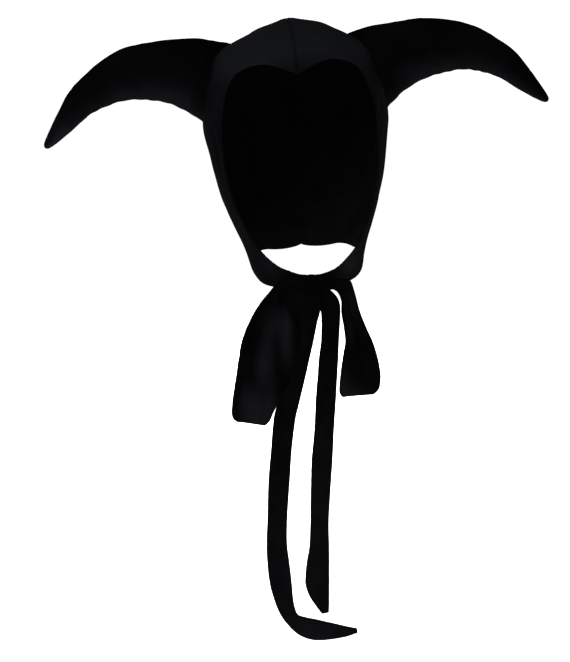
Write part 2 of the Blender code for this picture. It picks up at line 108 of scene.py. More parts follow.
# How full the sections are, 2 for an oval, and the drop of the middle as a share of HOOD_HEIGHT
SECTION_FULLNESS = 2.1
HEAD_MIDDLE = 0.40

# One side of the face opening, seen from the front, from the widow's peak down to the chin.
# out is a share of half FACE_WIDTH, down a share of FACE_HEIGHT below the top of the opening.
FACE_EDGE = [
    # out, down
    (0.0, 0.058),
    (0.13, 0.035),
    (0.26, 0.014),
    (0.42, 0.0),
    (0.6, 0.007),
    (0.74, 0.03),
    (0.83, 0.066),
    (0.9, 0.12),
    (0.96, 0.205),
    (0.995, 0.31),
    (1.0, 0.4),
    (0.98, 0.5),
    (0.925, 0.615),
    (0.85, 0.715),
    (0.75, 0.805),
    (0.62, 0.88),
    (0.45, 0.945),
    (0.25, 0.985),
    (0.0, 1.0),
]

# The hem round the neck. turn is the angle round the head from the chin to the nape, in degrees,
# drop a share of HOOD_HEIGHT.
NECK_EDGE = [
    # turn, drop
    (0, 0.985),
    (25, 0.983),
    (45, 0.972),
    (65, 0.95),
    (90, 0.918),
    (120, 0.897),
    (150, 0.885),
    (180, 0.882),
]

# Where a panel's top edge meets its back edge on the centre line, how fast the centre line takes
# over at its ends, how far the halves overlap there, and how much the crown stands up
BACK_POLE = math.radians(30)
SEAM_FADE = 1.6
SEAM_OVERLAP = 0.00025
CROWN_RISE = 0.0009

# Where each horn is sewn on: an oval round the ear, in degrees on the flat map of the side of the
# head. aside is its middle behind the ear, tilt how far its top lies further back than that.
HORN_ROOTS = {
    # side: aside, height, tilt
    -1: (5.5, 33.0, 9.0),
    1: (2.0, 33.0, 5.0),
}
HORN_ROOT_SIZE = (19.5, 24.0)

# How much nearer the ear the seam of each horn runs at its upper front, as a share of its reach,
# and where round the horn that is
HORN_DRAWN_IN = {-1: 0.23, 1: 0.15}
HORN_DRAWN_AT = math.radians(125)
HORN_DRAWN_WIDTH = math.radians(38)

# The rings of a horn at its root: the share of the seam's size, and the lift off the hood's form
HORN_ROOT_RINGS = [(0.45, 0.0009), (1.0, 0.0012), (1.015, 0.0036)]

# A horn's sections from the root to the tip. out and rise are shares of HORN_REACH from the crown
# seat, height a share of HORN_HEIGHT, lean the angle in degrees by which the section leans outward.
HORN_SECTIONS = [
    # out, rise, height, lean
    (0.375, -0.183, 0.905, -19.0),
    (0.447, -0.163, 0.81, -11.3),
    (0.513, -0.15, 0.74, -8.8),
    (0.578, -0.147, 0.685, -5.0),
    (0.645, -0.152, 0.62, 5.0),
    (0.708, -0.17, 0.545, 16.5),
    (0.77, -0.202, 0.465, 30.0),
    (0.838, -0.247, 0.38, 38.5),
    (0.902, -0.313, 0.275, 43.0),
    (0.952, -0.366, 0.176, 44.0),
    (0.982, -0.397, 0.098, 44.0),
]
HORN_TIP = (0.995, -0.412)
HORN_LAST_RING = (HORN_TIP[0] - 0.004, HORN_TIP[1] + 0.006, 0.035, 44.0)

# How far each horn's tip hangs out and up from the symmetric place, as shares of HORN_REACH
HORN_SWAY = {-1: (-0.002, -0.007), 1: (0.016, 0.012)}

# The loops of the bow, line by line across the tie: down the front, round the fold, up the back.
# x is a share of TIE_WIDTH from the knot's middle, z a share of LOOP_LENGTH below it, for the outer
# and the inner edge. back is how far behind the knot's middle, as a share of KNOT_DEPTH.
# pleat is the depth of the pleats as a share of TIE_WIDTH.
LOOP_LEFT = [
    # outer x, outer z, inner x, inner z, back, pleat
    (-0.47, -0.035, -0.47, 0.038, -0.24, 0.0),
    (-0.59, -0.008, -0.47, 0.07, -0.28, 0.005),
    (-0.74, 0.052, -0.4, 0.115, -0.34, 0.02),
    (-0.935, 0.13, -0.2, 0.175, -0.4, 0.04),
    (-1.145, 0.25, -0.04, 0.28, -0.42, 0.05),
    (-1.315, 0.397, -0.05, 0.42, -0.42, 0.05),
    (-1.39, 0.543, -0.17, 0.565, -0.42, 0.045),
    (-1.455, 0.69, -0.38, 0.71, -0.38, 0.04),
    (-1.515, 0.832, -0.565, 0.855, -0.32, 0.03),
    (-1.53, 0.925, -0.68, 0.95, -0.24, 0.015),
    (-1.505, 0.965, -0.74, 0.995, -0.13, 0.006),
    (-1.43, 0.99, -0.82, 1.022, 0.04, 0.0),
    (-1.46, 0.95, -0.77, 0.985, 0.2, 0.004),
    (-1.44, 0.89, -0.72, 0.93, 0.32, 0.01),
    (-1.35, 0.793, -0.43, 0.82, 0.4, 0.02),
    (-1.22, 0.655, -0.26, 0.675, 0.44, 0.03),
    (-1.07, 0.517, -0.17, 0.53, 0.44, 0.035),
    (-0.94, 0.38, -0.13, 0.39, 0.44, 0.04),
    (-0.84, 0.24, -0.16, 0.275, 0.42, 0.03),
    (-0.73, 0.12, -0.29, 0.185, 0.38, 0.01),
    (-0.59, 0.025, -0.44, 0.11, 0.32, 0.0),
    (-0.47, -0.03, -0.47, 0.038, 0.26, 0.0),
]
LOOP_RIGHT = [
    # outer x, outer z, inner x, inner z, back, pleat
    (0.47, -0.038, 0.47, 0.018, -0.24, 0.0),
    (0.7, -0.043, 0.62, 0.044, -0.24, 0.02),
    (0.92, -0.03, 0.725, 0.074, -0.26, 0.03),
    (1.02, 0.052, 0.745, 0.122, -0.28, 0.045),
    (1.135, 0.194, 0.745, 0.207, -0.3, 0.055),
    (1.27, 0.31, 0.795, 0.31, -0.32, 0.06),
    (1.405, 0.411, 0.825, 0.411, -0.32, 0.06),
    (1.505, 0.517, 0.785, 0.505, -0.32, 0.05),
    (1.575, 0.638, 0.735, 0.63, -0.32, 0.04),
    (1.575, 0.715, 0.71, 0.725, -0.27, 0.02),
    (1.545, 0.765, 0.715, 0.785, -0.15, 0.008),
    (1.46, 0.8, 0.775, 0.818, 0.04, 0.0),
    (1.51, 0.765, 0.74, 0.78, 0.22, 0.006),
    (1.52, 0.715, 0.74, 0.72, 0.34, 0.02),
    (1.45, 0.603, 0.8, 0.603, 0.42, 0.03),
    (1.32, 0.448, 0.85, 0.448, 0.42, 0.035),
    (1.15, 0.293, 0.84, 0.293, 0.42, 0.035),
    (1.01, 0.155, 0.78, 0.155, 0.38, 0.03),
    (0.84, 0.012, 0.68, 0.066, 0.34, 0.02),
    (0.47, -0.03, 0.47, 0.022, 0.26, 0.0),
]

# The tails, line by line from the knot down. The fold runs down one edge and both layers end at the
# other. x is a share of TIE_WIDTH from the knot's middle, z a share of TAIL_LENGTH below it,
# front is how far in front of the knot's middle, as a share of KNOT_DEPTH.
TAIL_LEFT = [
    # open x, open z, fold x, fold z, front
    (-0.46, 0.002, 0.26, 0.002, 0.1),
    (-0.5, 0.0209, 0.31, 0.0209, 0.45),
    (-0.44, 0.048, 0.32, 0.048, 0.75),
    (-0.28, 0.073, 0.265, 0.073, 1.02),
    (-0.13, 0.102, 0.2, 0.104, 1.18),
    (-0.12, 0.144, 0.13, 0.151, 1.3),
    (-0.2, 0.197, 0.055, 0.195, 1.3),
    (-0.34, 0.252, -0.038, 0.252, 1.3),
    (-0.58, 0.321, -0.16, 0.321, 1.25),
    (-0.67, 0.363, -0.235, 0.368, 1.2),
    (-0.725, 0.453, -0.31, 0.454, 1.15),
    (-0.78, 0.537, -0.35, 0.538, 1.15),
    (-0.8, 0.637, -0.4, 0.637, 1.15),
    (-0.82, 0.714, -0.41, 0.715, 1.2),
    (-0.81, 0.771, -0.365, 0.769, 1.28),
    (-0.76, 0.832, -0.32, 0.822, 1.38),
    (-0.645, 0.887, -0.29, 0.87, 1.5),
    (-0.51, 0.926, -0.25, 0.899, 1.6),
    (-0.31, 0.958, -0.18, 0.918, 1.7),
    (-0.1, 0.98, -0.01, 0.925, 1.8),
    (0.18, 0.99, 0.22, 0.931, 1.9),
    (0.52, 0.987, 0.51, 0.94, 1.95),
    (0.83, 0.98, 0.83, 0.951, 1.95),
    (1.05, 0.969, 1.06, 0.959, 1.9),
]
TAIL_RIGHT = [
    # open x, open z, fold x, fold z, front
    (0.1, 0.002, 0.34, 0.0, -0.05),
    (0.15, 0.022, 0.44, 0.011, 0.1),
    (0.22, 0.042, 0.575, 0.026, 0.22),
    (0.29, 0.06, 0.67, 0.044, 0.4),
    (0.32, 0.085, 0.7, 0.073, 0.62),
    (0.31, 0.149, 0.665, 0.147, 0.95),
    (0.265, 0.202, 0.65, 0.202, 0.95),
    (0.235, 0.258, 0.63, 0.258, 0.95),
    (0.205, 0.311, 0.61, 0.312, 0.95),
    (0.175, 0.401, 0.57, 0.401, 0.95),
    (0.12, 0.488, 0.54, 0.489, 0.95),
    (0.105, 0.574, 0.5, 0.574, 0.95),
    (0.1, 0.66, 0.47, 0.66, 0.95),
    (0.08, 0.732, 0.48, 0.732, 0.95),
    (0.03, 0.775, 0.485, 0.775, 0.95),
    (0.0, 0.815, 0.485, 0.815, 0.95),
    (0.0, 0.845, 0.485, 0.845, 0.95),
    (0.08, 0.876, 0.485, 0.874, 0.95),
    (0.2, 0.902, 0.485, 0.899, 0.95),
    (0.33, 0.926, 0.48, 0.922, 0.95),
]

# The knot from end to end: along is a share of half KNOT_WIDTH, girth a share of full size
KNOT_SECTIONS = [
    # along, girth
    (-1.0, 0.74),
    (-0.92, 0.9),
    (-0.7, 1.02),
    (-0.3, 1.06),
    (0.3, 1.06),
    (0.7, 1.02),
    (0.92, 0.9),
    (1.0, 0.74),
]

# How much wider the wrap is than the solid
KNOT_STRETCH = 1.06

# Folds of the cloth round the knot: where along it, how wide and how high, in the same shares
KNOT_FOLDS = [
    # spot, width, height
    (-0.78, 0.13, 0.07),
    (-0.59, 0.05, -0.07),
    (-0.4, 0.16, 0.1),
    (-0.19, 0.05, -0.07),
    (0.02, 0.18, 0.07),
    (0.23, 0.05, -0.07),
    (0.42, 0.15, 0.11),
    (0.62, 0.05, -0.07),
    (0.8, 0.12, 0.06),
]

SIDE_NAMES = {-1: "left", 1: "right"}

# How finely the pieces are meshed
PANEL_ALONG = 220
PANEL_ACROSS = 150
HORN_RINGS = 132
HORN_SIDES = 96
LOOP_STEPS = 190
LOOP_LINES = 56
TAIL_STEPS = 240
KNOT_RINGS = 64
KNOT_SIDES = 72

# How many points stand for a line when lengths and distances are measured
LINE_SPOTS = 600
EDGE_SPOTS = 300
ROOT_SPOTS = 160
STROKE_SPOTS = 90

# How often the searches on the head form halve their range
FORM_HALVINGS = 32
DROP_HALVINGS = 36

# How far in from its rim an edge is rounded, in metres
HEM_ROUND = 0.0013
SEAM_ROUND = 0.0018
BAND_ROUND = 0.0011

# Unevenness of the cloth, in layers: the size and the height of the bumps in metres, and a seed
HOOD_UNEVEN = [(0.045, 0.0009, 0), (0.018, 0.00030, 9)]
HORN_UNEVEN = [(0.04, 0.0012, 1), (0.015, 0.0005, 2)]
TAIL_UNEVEN = [(0.025, 0.0006, 64), (0.06, 0.0009, 66)]

# How many times the cloth puckers round a horn's root, and how far apart it does along the seams
ROOT_PUCKERS = 11
SEAM_PUCKER = 0.0115
HORN_PUCKER = 0.0150

# A tail's layers: how far across the fold begins, half the space between them, how much they puff
# and how far the open edge slips
FOLD_START = 0.92
TAIL_LOOSE = 0.00125
TAIL_PUFF = 0.0007
TAIL_SLACK = 0.0011

# Folds and creases pressed into the hood, as strokes on the flat map round the ear.
# side, width and depth in millimetres, then spots in degrees on the map.
HOOD_CREASES = [
    (-1, 4.2, 0.6, [(-14, 11), (-27, 8), (-33, -3), (-32, -14), (-30, -28), (-28, -40)]),
    (-1, 4.0, 0.5, [(-22, 12), (-38, 16), (-46, 22)]),
    (-1, 4.5, 0.3, [(-20, 50), (-36, 50), (-50, 52), (-58, 55)]),
    (-1, 5.5, 0.3, [(-18, 56), (-34, 60), (-48, 66)]),
    (1, 3.0, 0.6, [(-60, 65), (-53, 57), (-45, 49), (-30, 46)]),
    (1, 3.0, 0.5, [(-68, 56), (-61, 49), (-50, 41), (-38, 40)]),
    (1, 3.6, 0.5, [(-22, 20), (-34, 14), (-40, 4), (-39, -10), (-36, -26)]),
    (1, 4.0, 0.6, [(-10, 8), (-22, 2), (-30, -8), (-33, -22)]),
    (-1, 5.0, 0.7, [(8, 8), (18, -8), (24, -28), (26, -46)]),
    (1, 5.0, 0.7, [(10, 8), (22, -10), (27, -30), (28, -48)]),
    (-1, 6.0, 0.8, [(22, 30), (38, 26), (54, 16), (64, 2)]),
    (1, 6.0, 0.8, [(20, 34), (36, 32), (52, 22), (66, 10)]),
    (-1, 4.0, 0.7, [(-4, -46), (-2, -56), (0, -66)]),
    (1, 4.0, 0.7, [(-8, -44), (-6, -54), (-3, -66)]),
    (-1, 4.0, 0.6, [(38, -30), (36, -42), (33, -52)]),
    (1, 4.0, 0.6, [(46, -26), (43, -38), (40, -48)]),
    (-1, 3.0, 0.7, [(-34, -66), (-44, -68), (-56, -70)]),
    (1, 3.0, 0.7, [(-30, -62), (-42, -66), (-56, -69)]),
]

# Where the hood lies off the head form: flatter on its shoulders, and drawn out by the horns above
# their seams. Each place is a spot in degrees on the flat map, its reach and its depth below the
# form in millimetres.
HOOD_FLATS = {
    -1: [((2, 69), 21.0, 2.8), ((-7, 47), 17.0, -3.6)],
    1: [((4, 72), 20.0, 0.3), ((-7, 43), 16.0, -3.0)],
}

# Folds of the loops: where each starts and ends along the band, from the knot down the front and
# up the back, where it lies across the band at its start, middle and end, its width as a share of
# the band, and its height in millimetres, towards the front where positive.
LOOP_FOLDS_LEFT = [
    # start, end, across at start, middle, end, width, height
    (0.0, 0.55, 0.4, 0.52, 0.54, 0.15, 2.0),
    (0.0, 0.36, 0.7, 0.8, 0.84, 0.11, 1.8),
    (0.06, 0.26, 0.57, 0.66, 0.68, 0.05, -1.0),
    (0.0, 0.52, 0.1, 0.17, 0.22, 0.1, -2.2),
    (0.0, 0.46, 0.93, 0.97, 0.98, 0.06, -1.8),
    (0.28, 0.56, 0.62, 0.66, 0.74, 0.1, 1.2),
    (0.34, 0.54, 0.3, 0.27, 0.26, 0.06, -0.9),
    (0.6, 1.0, 0.62, 0.56, 0.55, 0.1, -2.2),
    (0.66, 1.0, 0.28, 0.28, 0.3, 0.08, 1.8),
    (0.7, 1.0, 0.82, 0.8, 0.76, 0.07, 1.6),
]
LOOP_FOLDS_RIGHT = [
    # start, end, across at start, middle, end, width, height
    (0.0, 0.3, 0.4, 0.6, 0.62, 0.1, 1.8),
    (0.03, 0.52, 0.78, 0.76, 0.72, 0.14, 2.4),
    (0.1, 0.5, 0.52, 0.52, 0.46, 0.06, -1.9),
    (0.14, 0.54, 0.2, 0.24, 0.22, 0.11, 1.3),
    (0.04, 0.26, 0.18, 0.14, 0.12, 0.07, -1.3),
    (0.6, 1.0, 0.55, 0.5, 0.5, 0.11, -2.0),
    (0.64, 1.0, 0.22, 0.24, 0.28, 0.08, 1.6),
]

# Zones of painted light, where the pile is made lighter where the light falls on the hat, or darker
# where the strength is below 0. In millimetres: the middle of each in the frame of the solids, and
# how far it reaches along each axis of the leaning head. Then its strength.
# The hood: painted light on the front of the crown, on both lobes at the jaw, at the back and on
# the left side; the last zone makes a narrow strip along the centre seam darker
HOOD_PAINTED_LIGHT_AND_SEAM = [
    ((-34, -50, -12), (72, 90, 62), 4.0),
    ((36, -50, -12), (70, 90, 56), 3.2),
    ((-26, -76, -206), (30, 40, 22), 1.1),
    ((46, -72, -201), (26, 40, 22), 1.1),
    ((8, 92, -60), (110, 86, 110), 3.0),
    ((-72, -14, -140), (22, 60, 36), 0.7),
    ((2, -50, -24), (4.5, 90, 60), -0.55),
]
# The horns: painted light on their backs and towards their tips
HORN_PAINTED_LIGHT = [
    ((-112, 42, -44), (80, 36, 56), 1.6),
    ((134, 42, -30), (80, 36, 56), 1.6),
    ((-196, 0, -102), (36, 60, 44), 0.75),
    ((186, 0, -104), (36, 60, 44), 0.62),
]
# The tie: painted light in bands on the loops and on the tails, lighter towards their ends, and
# painted shade on the left loop where the strength is below 0
TIE_PAINTED_LIGHT_AND_SHADE = [
    ((-10, -90, -247), (18, 16, 22), 2.2),
    ((-5, -90, -268), (13, 16, 38), 2.2),
    ((-19, -90, -264), (11, 16, 26), 1.5),
    ((-23, -90, -286), (14, 16, 36), 2.5),
    ((-15, -90, -268), (6, 16, 13), -0.4),
    ((-36, -90, -262), (15, 16, 32), -0.45),
    ((-27, -90, -320), (28, 16, 32), 2.6),
    ((40, -92, -300), (15, 15, 44), 1.0),
    ((50, -92, -315), (22, 15, 22), 0.9),
    ((46, -92, -256), (9, 15, 28), 0.5),
    ((48, -92, -233), (10, 14, 26), 0.55),
    ((0, -110, -450), (130, 80, 230), 0.34),
    ((26, -104, -350), (18, 30, 90), 0.16),
    ((22, -112, -512), (70, 80, 40), 0.7),
]

# Lightness of the pile from the darkest to the lightest, where on the nap and its painted light
# each of them lies, and how much painted light from below makes the horns lighter where they face
# down
HOOD_TONES = (0.0008, 0.0012, 0.0023, 0.0033)
HORN_TONES = (0.00035, 0.0007, 0.0016, 0.0040)
TIE_TONES = (0.00035, 0.0007, 0.0020, 0.0034)
NAP_PLACES = (0.05, 0.25, 0.60, 1.0)
HORN_PAINTED_UNDERLIGHT = 0.50

# What the nap is made of: a base, the shares of the broad and the crushed places and of the painted
# light
NAP_BASE = -0.15
BROAD_SHARE = 0.45
CRUSHED_SHARE = 0.35
PAINTED_LIGHT_SHARE = 0.8

# Lightness of the lining, and where on its wear each tone lies
LINING_TONES = (0.0013, 0.0018, 0.0023)
WEAR_PLACES = (0.3, 0.5, 0.7)

SHEEN = 0.0001
SHEEN_COLOUR = (0.80, 0.88, 1.0, 1)

# The studio. Each light is a square: where it stands, the length of its sides, and its power.
LIGHTS = [
    # name, place, sides, power
    ("key", (-0.7, -1.6, 0.9), 0.9, 42),
    ("back_left", (-0.9, 1.5, 0.0), 0.8, 200),
    ("back_right", (1.3, 1.2, -0.1), 0.6, 130),
]
LIGHT_AIM = (0, 0, -0.15)
WORLD_COLOUR = (0.99, 1.0, 1.0, 1)
WORLD_STRENGTH = 1.2
FLOOR_COLOUR = (0.87, 0.855, 0.858, 1)
FLOOR_HALF = 80.0
FLOOR_GAP = 0.0006
CAMERA_PLACE = (-0.0766, -1.4220, -0.0569)
CAMERA_TURN = (81.5, 0.0, -3.0)
CAMERA_LENS = 88.53


def smooth_rows(rows, place):
    """Every column of a table at places between its rows, 0 to len(rows) - 1, on a smooth curve."""
    rows = np.asarray(rows, float)
    last = len(rows) - 1
    place = np.clip(np.asarray(place, float), 0.0, last)
    low = np.minimum(place.astype(int), last - 1)
    t = (place - low)[..., None]
    a, b, c, d = (rows[np.clip(low + k, 0, last)] for k in (-1, 0, 1, 2))
    square = 2 * a - 5 * b + 4 * c - d
    cube = 3 * b - a - 3 * c + d
    return 0.5 * (2 * b + (c - a) * t + square * t ** 2 + cube * t ** 3)


def unit(vectors):
    return vectors / np.maximum(np.linalg.norm(vectors, axis=-1, keepdims=True), 1e-12)


def smooth_step(value, low, high):
    t = np.clip((value - low) / (high - low), 0.0, 1.0)
    return t * t * (3 - 2 * t)


def eased(count, ease):
    """Shares from 0 to 1 that lie closer together at both ends."""
    t = np.linspace(0.0, 1.0, count + 1)
    return t - ease * np.sin(2 * math.pi * t) / (2 * math.pi)


def hump(distance, width):
    return np.exp(-(distance / width) ** 2)


def rounded(to_rim, reach):
    """The share of its thickness that a turned edge has at given distances from its rim."""
    return np.sqrt(1 - (1 - np.clip(to_rim / reach, 0, 1)) ** 2)


def lengths_along(points):
    """How far along a row of points each of them lies."""
    return np.concatenate([[0.0], np.cumsum(np.linalg.norm(np.diff(points, axis=0), axis=1))])


def wander(points, scale, seed):
    """Smooth noise from -1 to 1 at each point. scale is the size of its bumps in metres."""
    shift = Vector((seed * 7.13, seed * 3.71, seed * 5.37))
    flat = points.reshape(-1, 3) / scale
    values = [noise.noise(Vector(point) + shift) for point in flat]
    return np.array(values).reshape(points.shape[:-1])


def uneven(points, layers, seed):
    """How unevenly cloth lies at each point, from layers of smooth noise."""
    return sum(height * wander(points, size, seed + extra) for size, height, extra in layers)


def nearest(points, line):
    """How far each point is from a row of points, and which of them is nearest."""
    flat = points.reshape(-1, 3)
    distance = np.empty(len(flat))
    index = np.empty(len(flat), int)
    for start in range(0, len(flat), 4000):
        gap = flat[start:start + 4000, None, :] - line[None, :, :]
        length = np.einsum("ijk,ijk->ij", gap, gap)
        index[start:start + 4000] = length.argmin(1)
        distance[start:start + 4000] = np.sqrt(length.min(1))
    return distance.reshape(points.shape[:-1]), index.reshape(points.shape[:-1])


# The head form

MIDDLE = np.array((0.0, 0.0, -HEAD_MIDDLE * HOOD_HEIGHT))


def section(place, turn):
    """Height of the head's level sections, and how far they reach from the upright axis."""
    rows = smooth_rows(HEAD_SECTIONS, place)
    half = rows[..., 1] * HEAD_WIDTH / 2
    depth = np.where(np.cos(turn) > 0, rows[..., 2], rows[..., 3]) * HEAD_LENGTH / 2
    small = np.minimum(half, depth) <= 1e-6
    across = np.abs(np.sin(turn)) / np.maximum(half, 1e-6)
    along = np.abs(np.cos(turn)) / np.maximum(depth, 1e-6)
    reach = (across ** SECTION_FULLNESS + along ** SECTION_FULLNESS) ** (-1 / SECTION_FULLNESS)
    return -rows[..., 0] * HOOD_HEIGHT, np.where(small, 0.0, reach)


def last_above(is_above, shape, halvings):
    """The last places in the table of sections that are still above something."""
    low = np.zeros(shape)
    high = np.full(shape, len(HEAD_SECTIONS) - 1.0)
    for _ in range(halvings):
        place = (low + high) / 2
        above = is_above(place)
        low = np.where(above, place, low)
        high = np.where(above, high, place)
    return low


def form_points(directions):
    """The points of the head form in directions from the middle of the head."""
    turn = np.arctan2(np.abs(directions[..., 0]), -directions[..., 1])
    slope = np.arctan2(directions[..., 2], np.hypot(directions[..., 0], directions[..., 1]))

    def above(place):
        height, reach = section(place, turn)
        return np.arctan2(height - MIDDLE[2], reach) > slope

    height, reach = section(last_above(above, turn.shape, FORM_HALVINGS), turn)
    return MIDDLE + unit(directions) * np.hypot(reach, height - MIDDLE[2])[..., None]


def form_normals(directions):
    """The outward normals of the head form in directions from the middle of the head."""
    directions = unit(directions)
    side = unit(np.cross(directions, np.array((0.31, 0.53, 0.79))))
    up = np.cross(directions, side)
    small = 0.012
    across = form_points(directions + side * small) - form_points(directions - side * small)
    along = form_points(directions + up * small) - form_points(directions - up * small)
    normals = unit(np.cross(across, along))
    return normals * np.sign((normals * directions).sum(-1, keepdims=True))


def places_at_drop(drop):
    """Where in the table of sections the head has reached given drops."""

    def above(place):
        return smooth_rows(HEAD_SECTIONS, place)[..., 0] * HOOD_HEIGHT < drop

    return last_above(above, drop.shape, DROP_HALVINGS)


def front_points(out, drop):
    """The points of the front of the head form that are seen at given places from the front."""
    place = places_at_drop(drop)
    rows = smooth_rows(HEAD_SECTIONS, place)
    share = np.minimum(np.abs(out) / (rows[..., 1] * HEAD_WIDTH / 2), 1.0)
    fall = (1 - share ** SECTION_FULLNESS) ** (1 / SECTION_FULLNESS)
    depth = rows[..., 2] * HEAD_LENGTH / 2 * fall
    return np.stack([out, -depth, -drop], -1)


def round_points(turn, drop):
    """The points of the head form at angles round from the chin and given drops."""
    height, reach = section(places_at_drop(drop), turn)
    return np.stack([reach * np.sin(turn), -reach * np.cos(turn), -drop], -1)


def to_map(points):
    """Points of the right half of the head on a flat map round the ear, in radians from the ear."""
    directions = unit(points - MIDDLE)
    away = np.arccos(np.clip(directions[..., 0], -1.0, 1.0))
    ring = np.maximum(np.hypot(directions[..., 1], directions[..., 2]), 1e-9)
    return np.stack([away * directions[..., 1] / ring, away * directions[..., 2] / ring], -1)


def from_map(spots):
    """The directions from the middle of the head that spots on the flat map stand for."""
    away = np.maximum(np.hypot(spots[..., 0], spots[..., 1]), 1e-9)
    ring = np.sin(away) / away
    return np.stack([np.cos(away), spots[..., 0] * ring, spots[..., 1] * ring], -1)


def along_line(spots, shares):
    """Spots on a smooth line through a row of spots, at shares of its length."""
    fine = smooth_rows(spots, np.linspace(0, len(spots) - 1, LINE_SPOTS))
    lengths = lengths_along(fine)
    wanted = np.asarray(shares) * lengths[-1]
    return np.stack([np.interp(wanted, lengths, fine[:, k]) for k in range(fine.shape[1])], -1)


def centre_arc(start, end, count):
    """Spots along the centre line of the head, between two angles on the map's rim."""
    angles = np.linspace(start, end, count + 1)
    return math.pi / 2 * np.stack([np.cos(angles), np.sin(angles)], -1)


# Meshes

def grid_normals(grid):
    return unit(np.cross(np.gradient(grid, axis=0), np.gradient(grid, axis=1)))


def make_piece(name, points, faces, material):
    """A closed smooth mesh as an object of the hat, with its faces turned outward."""
    data = bpy.data.meshes.new(name)
    data.from_pydata(points.tolist(), [], faces)
    mesh = bmesh.new()
    mesh.from_mesh(data)
    bmesh.ops.recalc_face_normals(mesh, faces=mesh.faces)
    mesh.to_mesh(data)
    mesh.free()
    data.shade_smooth()
    data.materials.append(material)
    piece = bpy.data.objects.new(name, data)
    bpy.context.scene.collection.objects.link(piece)
    return piece


def cloth_shell(name, middle, up, down, material, normals=None, inside=None):
    """A closed sheet of cloth: a grid of points with cloth above and below, joined round its rim.

    inside is the material of the side below, where it isn't the same.
    """
    rows, columns = middle.shape[:2]
    if normals is None:
        normals = grid_normals(middle)
    top = (middle + normals * up[..., None]).reshape(-1, 3)
    under = (middle - normals * down[..., None]).reshape(-1, 3)
    index = np.arange(rows * columns).reshape(rows, columns)
    quads = np.stack([index[:-1, :-1], index[:-1, 1:], index[1:, 1:], index[1:, :-1]], -1)
    quads = quads.reshape(-1, 4)
    rim = np.concatenate([index[0, :], index[1:, -1], index[-1, -2::-1], index[-2:0:-1, 0]])
    after = np.roll(rim, -1)
    below = rows * columns
    sides = np.stack([rim, rim + below, after + below, after], -1)
    faces = np.concatenate([quads, quads[:, ::-1] + below, sides]).tolist()
    piece = make_piece(name, np.concatenate([top, under]), faces, material)
    if inside is not None:
        piece.data.materials.append(inside)
        slots = np.zeros(len(faces), int)
        slots[len(quads):2 * len(quads)] = 1
        piece.data.polygons.foreach_set("material_index", slots)
    return piece


def closed_tube(name, rings, material):
    """A closed tube from rings of points, with a fan at each end."""
    count, sides = rings.shape[:2]
    index = np.arange(count * sides).reshape(count, sides)
    after = np.roll(index, -1, axis=1)
    quads = np.stack([index[:-1], after[:-1], after[1:], index[1:]], -1).reshape(-1, 4)
    points = np.concatenate([rings.reshape(-1, 3), rings[0].mean(0)[None], rings[-1].mean(0)[None]])
    first = [[int(b), int(a), count * sides] for a, b in zip(index[0], after[0])]
    last = [[int(a), int(b), count * sides + 1] for a, b in zip(index[-1], after[-1])]
    return make_piece(name, points, quads.tolist() + first + last, material)


# The hood

def face_edge():
    table = np.array(FACE_EDGE)
    return front_points(table[:, 0] * FACE_WIDTH / 2, FACE_TOP + table[:, 1] * FACE_HEIGHT)


def neck_edge():
    table = np.array(NECK_EDGE, float)
    return round_points(np.radians(table[:, 0]), table[:, 1] * HOOD_HEIGHT)


def panel_spots():
    """The hood panel on the flat map, as rows of spots from the face edge to the back."""
    face = to_map(face_edge())
    neck = to_map(neck_edge())
    full_turn = 2 * math.pi
    peak = math.atan2(face[0, 1], face[0, 0]) % full_turn
    chin = math.atan2(face[-1, 1], face[-1, 0]) % full_turn
    hem = math.atan2(neck[0, 1], neck[0, 0]) % full_turn
    nape = math.atan2(neck[-1, 1], neck[-1, 0]) % full_turn - full_turn
    s = eased(PANEL_ALONG, 0.5)
    v = eased(PANEL_ACROSS, 0.75)
    crown_seam = along_line(centre_arc(peak, BACK_POLE, 24), v)
    chin_seam = along_line(centre_arc(chin, hem, 4), v)
    face_side = along_line(face, s)
    back_seam = along_line(centre_arc(BACK_POLE, nape, 16), np.minimum(2 * s, 1.0))
    neck_side = along_line(neck[::-1], np.maximum(2 * s - 1, 0.0))
    back_side = np.where((s <= 0.5)[:, None], back_seam, neck_side)
    s, v = s[:, None, None], v[None, :, None]
    spots = face_side[:, None] * (1 - v) + back_side[:, None] * v
    at_crown = crown_seam[None] - (face_side[0] * (1 - v) + back_side[0] * v)
    at_chin = chin_seam[None] - (face_side[-1] * (1 - v) + back_side[-1] * v)
    return spots + at_crown * (1 - s) ** SEAM_FADE + at_chin * s ** SEAM_FADE


def stroke_depth(points, width, depth, spots):
    """How far a crease presses the cloth in at each point. It has a low ridge on both sides."""
    line = along_line(np.radians(np.array(spots, float)), np.linspace(0, 1, STROKE_SPOTS))
    distance, index = nearest(points, form_points(from_map(line)))
    fade = np.sin(math.pi * (index + 0.5) / STROKE_SPOTS) ** 0.7
    width, depth = width / 1000, depth / 1000
    return depth * fade * (0.45 * hump(distance - 1.9 * width, width) - hump(distance, width))


def flat_places(points, side):
    """How far the cloth lies below the head form at each point."""
    below = np.zeros(points.shape[:-1])
    for spot, reach, depth in HOOD_FLATS[side]:
        middle = form_points(from_map(np.radians(np.array([spot], float))))[0]
        below += depth / 1000 * hump(np.linalg.norm(points - middle, axis=-1), reach / 1000)
    return below


